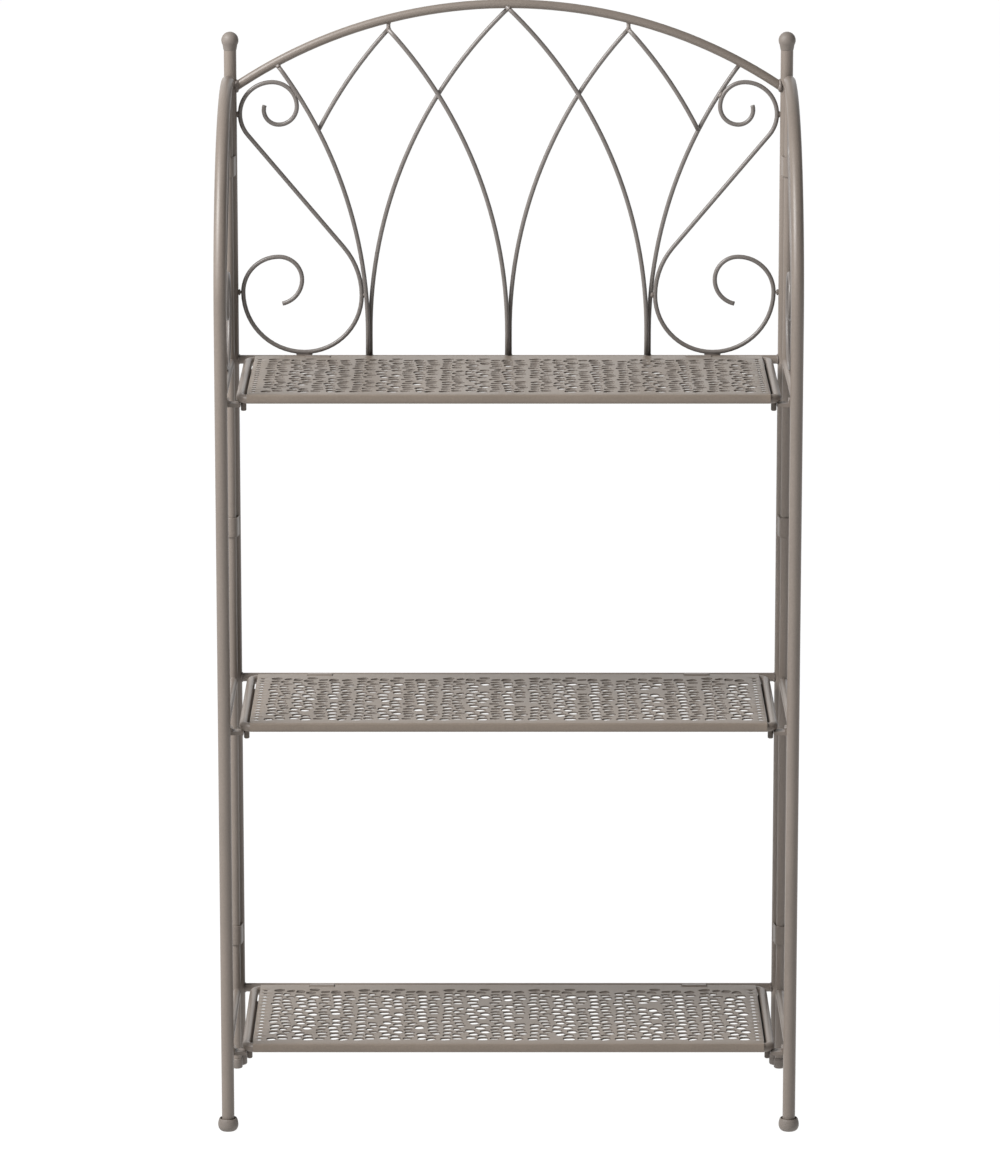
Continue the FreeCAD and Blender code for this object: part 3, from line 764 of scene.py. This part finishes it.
def feet():
    """Rounded plastic caps under the legs, posts and uprights."""
    for name, sign in right_first:
        low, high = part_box(f"{name}_front_foot")
        radius = (high.x - low.x) / 2
        x = sign * leg_x
        profile = [(radius * wide, high.z * tall) for wide, tall in front_foot_shares]
        parts = [lathe(profile, x, front_y, front_foot_sides)]
        parts += [foot_rib(x, 2 * math.pi * (index + 0.5) / foot_ribs, high.z) for index in range(foot_ribs)]
        make_piece(f"{name}_ball_foot", f"{name}_side_frame", joined(parts), foot_plastic,
                   [f"{name}_front_foot"], soft_crease)
        for node, body, x, y, tube_radius in (
                (f"{name}_post_foot", "back_frame", sign * post_x, post_y, leg_radius),
                (f"{name}_upright_foot", f"{name}_side_frame", sign * leg_x, upright_y, bar_radius)):
            low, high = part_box(node)
            outside = (high.x - low.x) / 2 / math.cos(math.pi / rear_foot_sides)
            profile = [(outside * sole_share, 0.0)]
            for onward, inward in quarter_round(rear_foot_round):
                profile.append((outside - rear_foot_round + onward, inward))
            profile += [(outside - inward, high.z - down) for inward, down in rear_foot_rim]
            profile += [(tube_radius + out, high.z - down) for out, down in mouth_rim]
            make_piece(node + "_cap", body, lathe(profile, x, y), foot_plastic, [node])


# Shelves
def shelf_tube(name, level):
    """The bent tube frame of one shelf, closed all round."""
    x = shelf_side_x - shelf_corner_radius
    front, rear = shelf_front_y + shelf_corner_radius, shelf_rear_y - shelf_corner_radius
    outline = []
    for turn, centre in enumerate(((x, rear), (-x, rear), (-x, front), (x, front))):
        outline += arc_points(centre, shelf_corner_radius, 90 * turn, 90 * turn + 90, corner_step)
    shape = tube([(x, y, level) for x, y in outline], bar_radius, closed=True)
    make_piece(f"shelf_{name}_tube", f"{name}_shelf", shape, steel_paint, [f"shelf_{name}_frame"])


# Pierced sheet
sheet_slot = 2.5 * MM
sheet_thickness = 0.8 * MM
sheet_top = 5.8 * MM
sheet_lap = 1.5 * MM
flange_level = -2.2 * MM
flange_gap = 24.0 * MM
flange_line = (             # how far out, and how high
    (0.0, sheet_top), (0.5 * MM, sheet_top - 0.4 * MM), (0.6 * MM, flange_level + 0.8 * MM),
    (1.2 * MM, flange_level), (sheet_slot + 1.4 * MM, flange_level),
)
lip_start = -4.0 * MM
lip_fold = 1.9 * MM
lip_turns = (22, 45, 68, 90)
lip_line = (
    (-6.1 * MM, 2.4 * MM), (-6.2 * MM, 0.8 * MM), (-6.1 * MM, -1.0 * MM), (-5.85 * MM, -2.6 * MM),
    (-5.3 * MM, -3.5 * MM), (-4.5 * MM, -4.0 * MM),
)
sheet_half = shelf_side_x - bar_radius - sheet_slot
field_front = shelf_front_y + 7.0 * MM
field_rear = shelf_rear_y - 13.0 * MM
notch_y = shelf_rear_y - 7.4 * MM
notch_gap = 1.0 * MM
hair = 0.001 * MM

# The stamp's pattern, which repeats along the sheet: the width and depth of each column's holes, the pitch of
# its rows and how far its first row is set back, as a share of half that pitch
column_width = 14.1 * MM
stamp_columns = (
    (15.4 * MM, 12.4 * MM, 13.7 * MM, 0.0),
    (13.4 * MM, 9.8 * MM, 11.4 * MM, 0.9),
    (14.6 * MM, 14.8 * MM, 13.7 * MM, 1.0),
    (15.8 * MM, 14.4 * MM, 13.7 * MM, 0.2),
    (14.0 * MM, 9.6 * MM, 11.4 * MM, 0.6),
    (16.0 * MM, 14.8 * MM, 13.7 * MM, 0.8),
    (13.8 * MM, 10.2 * MM, 11.4 * MM, 0.3),
)
stamp_rows = {13.7 * MM: 5, 11.4 * MM: 6}       # rows of each pitch before the pattern repeats
drift_x = 3.6 * MM
drift_y = 1.7 * MM
width_spread = (0.8, 1.12)
depth_spread = (0.72, 1.08)
lean_spread = (-0.5, 0.65, 0.15)
blank_chance = 0.04
web = 0.9 * MM          # least metal between two holes
rim_width = 0.6 * MM
rim_drop = 1.65 * MM
pebble_corners = 16
pebble_rounding = 4.0
wall_slope = 0.6        # a face whose normal rises less than this is a hole's wall
stamp_seed = 17
last_row_share = 0.6    # of a pitch, that the last row of a column needs

# The line of fine holes down each end
fine_inset = 6.5 * MM
fine_size = (4.4 * MM, 4.8 * MM)
fine_pitch = 12.0 * MM
fine_start = 0.4        # of a pitch
fine_rim = (0.15 * MM, 0.1 * MM)


def stamped_holes():
    """Every hole's middle, size, lean and rim."""
    pick = random.Random(stamp_seed)
    stamp = {}
    for key, (wide, deep, pitch, _) in enumerate(stamp_columns):
        for row in range(stamp_rows[pitch]):
            drift = (pick.uniform(-drift_x, drift_x), pick.uniform(-drift_y, drift_y))
            size = (wide * pick.uniform(*width_spread), deep * pick.uniform(*depth_spread))
            stamp[key, row] = (drift, size, pick.triangular(*lean_spread))
    holes = []
    for side in (-1, 1):
        for row in range(int((field_rear - field_front) / fine_pitch)):
            middle = (side * (sheet_half - fine_inset), field_front + fine_pitch * (row + fine_start))
            holes.append((middle, fine_size, 0.0, fine_rim))
    reach = sheet_half - 2 * fine_inset
    count = round(2 * reach / column_width)
    step = 2 * reach / count
    for index in range(count):
        key = index % len(stamp_columns)
        _, _, pitch, set_back = stamp_columns[key]
        first = field_front + (1 + set_back) * pitch / 2
        for row in range(int((field_rear - first) / pitch + last_row_share)):
            drift, size, lean = stamp[key, row % stamp_rows[pitch]]
            middle = (-reach + step * (index + 0.5) + drift[0], first + row * pitch + drift[1])
            if pick.random() > blank_chance:
                holes.append((middle, size, lean, (rim_width, rim_drop)))
    return holes


def middle_of_circle(a, b, c):
    """Middle of the circle through three points of a plane."""
    bx, by = b[0] - a[0], b[1] - a[1]
    cx, cy = c[0] - a[0], c[1] - a[1]
    twice = 2 * (bx * cy - by * cx)
    b_square, c_square = bx * bx + by * by, cx * cx + cy * cy
    return (a[0] + (cy * b_square - by * c_square) / twice, a[1] + (bx * c_square - cx * b_square) / twice)


def nearest_cells(middles):
    """Each middle's cell, which is the part of the field nearer to it than to the others, as corners in turn.
    Middles mirrored at the field's borders keep the outer cells inside them."""
    points = list(middles)
    for place in middles:
        for axis, wall in ((0, -sheet_half), (0, sheet_half), (1, field_front), (1, field_rear)):
            if abs(place[axis] - wall) < 3 * column_width:
                mirrored = list(place)
                mirrored[axis] = 2 * wall - place[axis]
                points.append(tuple(mirrored))
    spots = [Vector(point) for point in points]
    _, _, triangles, origin, _, _ = delaunay_2d_cdt(spots, [], [], 0, hair / 100)
    corners = [{} for _ in middles]
    for triangle in triangles:
        names = [origin[corner][0] for corner in triangle]
        if min(names) < len(middles):
            place = middle_of_circle(*[points[name] for name in names])
            for name in names:
                if name < len(middles):
                    corners[name][round(place[0] / hair), round(place[1] / hair)] = place
    return [sorted(found.values(), key=lambda at: turn_from(middle, at))
            for middle, found in zip(middles, corners)]


def pebble(middle, size, lean, cell):
    """Outline of a hole round its middle: a box leant over, with well rounded corners, that keeps half a web
    inside its cell."""
    walls = [(on_turn(lean + side * half_pi), size[side % 2] / 2) for side in range(4)]
    for start, end in zip(cell, cell[1:] + cell[:1]):
        out = Vector((end[1] - start[1], start[0] - end[0])).normalized()
        walls.append((out, max((Vector(start) - Vector(middle)).dot(out) - web / 2, web)))
    outline = []
    for heading in round_turns(pebble_corners):
        shares = [max(heading.dot(out), 0) / distance for out, distance in walls]
        outline.append(heading * sum(share ** pebble_rounding for share in shares) ** (-1 / pebble_rounding))
    return outline


def on_line(start, end, stops):
    """The start of a line along the first axis, and the stops that it passes before its end."""
    low, high = sorted((start[0], end[0]))
    passed = sorted((stop for stop in stops if low + hair < stop < high - hair), reverse=start[0] > end[0])
    return [start] + [(stop, start[1]) for stop in passed]


class SheetMesh:
    """Outline faces of the sheet, welded at shared corners."""

    def __init__(self):
        self.bm = bmesh.new()
        self.known = {}

    def vertex(self, x, y, z=sheet_top):
        key = tuple(round(place / hair) for place in (x, y, z))
        if key not in self.known:
            self.known[key] = self.bm.verts.new((x, y, z))
        return self.known[key]

    # A shaded face takes the second material: the dark coat, painted as shade
    def face(self, points, shaded=False):
        corners = list(dict.fromkeys(self.vertex(*point) for point in points))
        if len(corners) > 2:
            self.bm.faces.new(corners).material_index = int(shaded)


def pierced_cell(sheet, hole, cell, stops):
    """One cell of the sheet round its hole, in two faces that meet along two lines, and its drawn-in rim,
    whose slopes are painted dark as shade.
    """
    middle, size, lean, (rim_in, rim_down) = hole
    border = []
    for start, end in zip(cell, cell[1:] + cell[:1]):
        ends = [min(abs(start[1] - wall), abs(end[1] - wall)) for wall in (field_front, field_rear)]
        flat = abs(start[1] - end[1]) < hair and min(ends) < hair
        border += on_line(start, end, stops) if flat else [start]
    centre = Vector(middle)
    rays = [(Vector(place) - centre).normalized() for place in border]
    outline = pebble(middle, size, lean, cell)
    outer = [tuple(centre + corner) for corner in outline]
    inner = [(*(centre + corner * (1 - rim_in / corner.length)), sheet_top - rim_down) for corner in outline]
    cuts = [max(range(len(border)), key=lambda i: sign * rays[i].x) for sign in (1, -1)]
    for first, last in (cuts, reversed(cuts)):
        side = [border[(first + i) % len(border)] for i in range((last - first) % len(border) + 1)]
        turns = [turn_from(middle, at) for at in (side[0], side[-1])]
        start, stop = [round(turn / (2 * math.pi) * pebble_corners) % pebble_corners for turn in turns]
        run = (stop - start) % pebble_corners
        sheet.face(side + [outer[(start + i) % pebble_corners] for i in range(run, -1, -1)])
    # The rim's slopes take the dark coat: painted shade
    for i in range(pebble_corners):
        j = (i + 1) % pebble_corners
        sheet.face([outer[i], outer[j], inner[j], inner[i]], shaded=True)


def sheet_profile():
    """Top and folded front of the sheet, from the field's front edge on, as places behind the front tube and
    heights above its middle."""
    fold = [(lip_start - onward, sheet_top - inward) for onward, inward in quarter_round(lip_fold, lip_turns)]
    return [(field_front - shelf_front_y, sheet_top), (lip_start, sheet_top)] + fold + list(lip_line)


def side_flanges(sheet, corners):
    """The narrow edges turned down at the sheet's ends; the left one leaves its rear end free. All but their
    top strip are painted dark as the shade in the slots.
    """
    for side in (-1, 1):
        x = side * sheet_half
        end = field_rear - (flange_gap if side < 0 else 0)
        rows = sorted({round(at[1] / hair): at[1] for at in corners if abs(at[0] - x) < hair}.values())
        rows = [row for row in rows if row < end - hair] + [end]
        for near, far in zip(rows, rows[1:]):
            for step, ((out0, z0), (out1, z1)) in enumerate(zip(flange_line, flange_line[1:])):
                x0, x1 = x + side * out0, x + side * out1
                # Below the top strip the slot faces take the dark coat: painted shade
                sheet.face([(x0, near, z0), (x1, near, z1), (x1, far, z1), (x0, far, z0)], shaded=step > 0)


def finished(bm):
    """The sheet's mesh, given its thickness, with hole walls painted dark as shade, and crisp edges."""
    bmesh.ops.recalc_face_normals(bm, faces=bm.faces)
    flat = max(bm.faces, key=lambda face: face.calc_area())
    if flat.normal.z < 0:
        bmesh.ops.reverse_faces(bm, faces=bm.faces)
    bmesh.ops.solidify(bm, geom=bm.faces[:], thickness=sheet_thickness)
    bmesh.ops.recalc_face_normals(bm, faces=bm.faces)
    for face in bm.faces:
        face.smooth = True
        # Steep faces of the field take the dark coat: painted shade in the holes and on their rims
        if abs(face.normal.z) < wall_slope and field_front < face.calc_center_median().y < field_rear:
            face.material_index = 1
    crisp_edges(bm, sheet_crease)
    mesh = bpy.data.meshes.new("stamped_sheet")
    bm.to_mesh(mesh)
    bm.free()
    return mesh


def stamped_sheet():
    """The pierced sheet at height 0: pebble-shaped holes with drawn-in rims, a lip folded down over the front
    tube, and notches round the hinge straps."""
    sheet = SheetMesh()
    holes = stamped_holes()
    cells = nearest_cells([hole[0] for hole in holes])
    corners = [corner for cell in cells for corner in cell]
    notch_half = strap_width / 2 + notch_gap
    stops = [sign * strap_x + side * notch_half for sign in (-1, 1) for side in (-1, 1)]
    stops += [x for x, y in corners if min(abs(y - field_front), abs(y - field_rear)) < hair]
    stops = sorted({round(stop / hair): stop for stop in stops}.values())
    for hole, cell in zip(holes, cells):
        pierced_cell(sheet, hole, cell, stops)
    profile = sheet_profile()
    rear = shelf_rear_y + sheet_lap
    for left, right in zip(stops, stops[1:]):
        for (y0, z0), (y1, z1) in zip(profile, profile[1:]):
            near, far = shelf_front_y + y0, shelf_front_y + y1
            sheet.face([(left, far, z1), (right, far, z1), (right, near, z0), (left, near, z0)])
        sheet.face([(left, field_rear), (right, field_rear), (right, notch_y), (left, notch_y)])
        if abs(abs(left + right) / 2 - strap_x) > notch_half:
            sheet.face([(left, notch_y), (right, notch_y), (right, rear), (left, rear)])
    side_flanges(sheet, corners)
    return finished(sheet.bm)


def pierced_sheet(name, level, stamped):
    """One shelf's sheet, cut from the stamped one."""
    mesh = stamped.copy()
    mesh.transform(Matrix.Translation((0, 0, level)))
    piece = add_object(f"shelf_{name}_pebble_sheet", mesh)
    mesh.materials.append(sheet_paint)
    # Second material: the dark coat, painted shade on hole walls, rims and slots
    mesh.materials.append(shade_paint)
    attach(piece, f"{name}_shelf")
    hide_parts(f"shelf_{name}_sheet")


# Locating pegs, which stand further out and end higher than the part's
peg_radius = 3.1 * MM
peg_shift = 1.0 * MM
peg_cut = 4.8 * MM
peg_chamfer = (0.7 * MM, 0.8 * MM)      # in from its side, and up from its tip


def pegs(name, level):
    """The two locating pegs under one shelf's side tubes, painted dark as the shade under the shelf."""
    parts = []
    low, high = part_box(f"shelf_{name}_pegs")
    y = (low.y + high.y) / 2
    tip = low.z + peg_cut
    heights = (level - bar_radius / 2, tip + peg_chamfer[1], tip)
    radii = [peg_radius, peg_radius, peg_radius - peg_chamfer[0]]
    for x in (low.x + peg_radius - peg_shift, high.x - peg_radius + peg_shift):
        parts.append(tube([(x, y, z) for z in heights], radii, peg_sides))
    # Dark coat on the pegs: painted shade
    make_piece(f"shelf_{name}_peg_pair", f"{name}_shelf", joined(parts), shade_paint,
               [f"shelf_{name}_pegs"], usual_crease)


posts_and_bars()
tracery()
back_scrolls()
finials()
hinge_bands()
side_frames()
feet()
stamped_mesh = stamped_sheet()
for shelf_name, shelf_level in zip(shelf_names, shelf_levels):
    shelf_tube(shelf_name, shelf_level)
    pierced_sheet(shelf_name, shelf_level, stamped_mesh)
    pegs(shelf_name, shelf_level)
for body_name, parts in beads.items():
    make_piece(f"{body_name}_weld_beads", body_name, joined(parts), weld_paint)
for side_name in ("left", "right"):
    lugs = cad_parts[f"{side_name}_rest_lugs"]
    lugs.data.materials.clear()
    lugs.data.materials.append(steel_paint)


# Studio: a glowing pale floor, one large lamp at the left, a pale wall behind and a little from everywhere
floor_reach = 40.0
floor_colour = (0.06, 0.06, 0.06)
floor_tones = (0.99, 1.0)
floor_cloud = 0.6
floor_roughness = 0.9
floor_sheen = 0.1
floor_glow = 0.98
lamp_direction = (-0.63, -0.39, 0.67)
lamp_distance = 4.0
lamp_size = 2.2
lamp_power = 280.0
lamp_aim = (0, 0, 0.6)
wall_direction = (0, 1, 0.12)
wall_strength = 1.45
wall_focus = 5.0
fill_strength = 0.16


def pale_floor():
    """Plain pale surface with a faint cloudiness."""
    material = bpy.data.materials.new("pale_floor")
    material.use_nodes = True
    tree = material.node_tree
    shader = tree.nodes["Principled BSDF"]
    shader.inputs["Roughness"].default_value = floor_roughness
    shader.inputs["Specular IOR Level"].default_value = floor_sheen
    shader.inputs["Emission Color"].default_value = (1, 1, 1, 1)
    shader.inputs["Emission Strength"].default_value = floor_glow
    noise = add_node(tree, "ShaderNodeTexNoise", Scale=floor_cloud)
    ramp = add_ramp(tree, noise.outputs["Fac"], floor_colour, floor_tones)
    tree.links.new(ramp, shader.inputs["Base Color"])
    return material


def studio():
    """Pale floor, lamp and sky."""
    mesh = bpy.data.meshes.new("floor")
    corners = [(x * floor_reach, y * floor_reach, 0) for x, y in ((-1, -1), (1, -1), (1, 1), (-1, 1))]
    mesh.from_pydata(corners, [], [(0, 1, 2, 3)])
    floor = add_object("floor", mesh)
    mesh.materials.append(pale_floor())

    data = bpy.data.lights.new("lamp", "AREA")
    data.shape = "SQUARE"
    data.size = lamp_size
    data.energy = lamp_power
    lamp = add_object("lamp", data)
    heading = Vector(lamp_direction).normalized()
    lamp.location = Vector(lamp_aim) + heading * lamp_distance
    lamp.rotation_euler = heading.to_track_quat("Z", "Y").to_euler()

    world = bpy.data.worlds.new("studio")
    bpy.context.scene.world = world
    world.use_nodes = True
    tree = world.node_tree
    direction = tree.nodes.new("ShaderNodeTexCoord").outputs["Generated"]
    wall = Vector(wall_direction).normalized()
    level = add_maths(tree, "DOT_PRODUCT", direction, wall, kind="ShaderNodeVectorMath")
    level = add_maths(tree, "MAXIMUM", level, 0.0)
    level = add_maths(tree, "POWER", level, wall_focus)
    level = add_maths(tree, "MULTIPLY_ADD", level, wall_strength, fill_strength)
    sky = tree.nodes["Background"]
    sky.inputs["Color"].default_value = (1, 1, 1, 1)
    tree.links.new(level, sky.inputs["Strength"])
    bpy.context.scene.view_settings.view_transform = "Standard"


# Camera, fitted to the photograph's frame
image_height = 1168
focal_pixels = 6016.0
sensor_width = 36.0         # mm
camera_x = -0.0095
camera_distance = 6.434     # in front of the legs
camera_height = 2.075
camera_pitch = math.radians(12.69)


def camera():
    """The view of the photograph."""
    data = bpy.data.cameras.new("camera")
    data.sensor_width = sensor_width
    data.lens = focal_pixels / image_height * sensor_width
    view = add_object("camera", data)
    view.location = (camera_x, front_y - camera_distance, camera_height)
    view.rotation_euler = (half_pi - camera_pitch, 0, 0)
    bpy.context.scene.camera = view


studio()
camera()
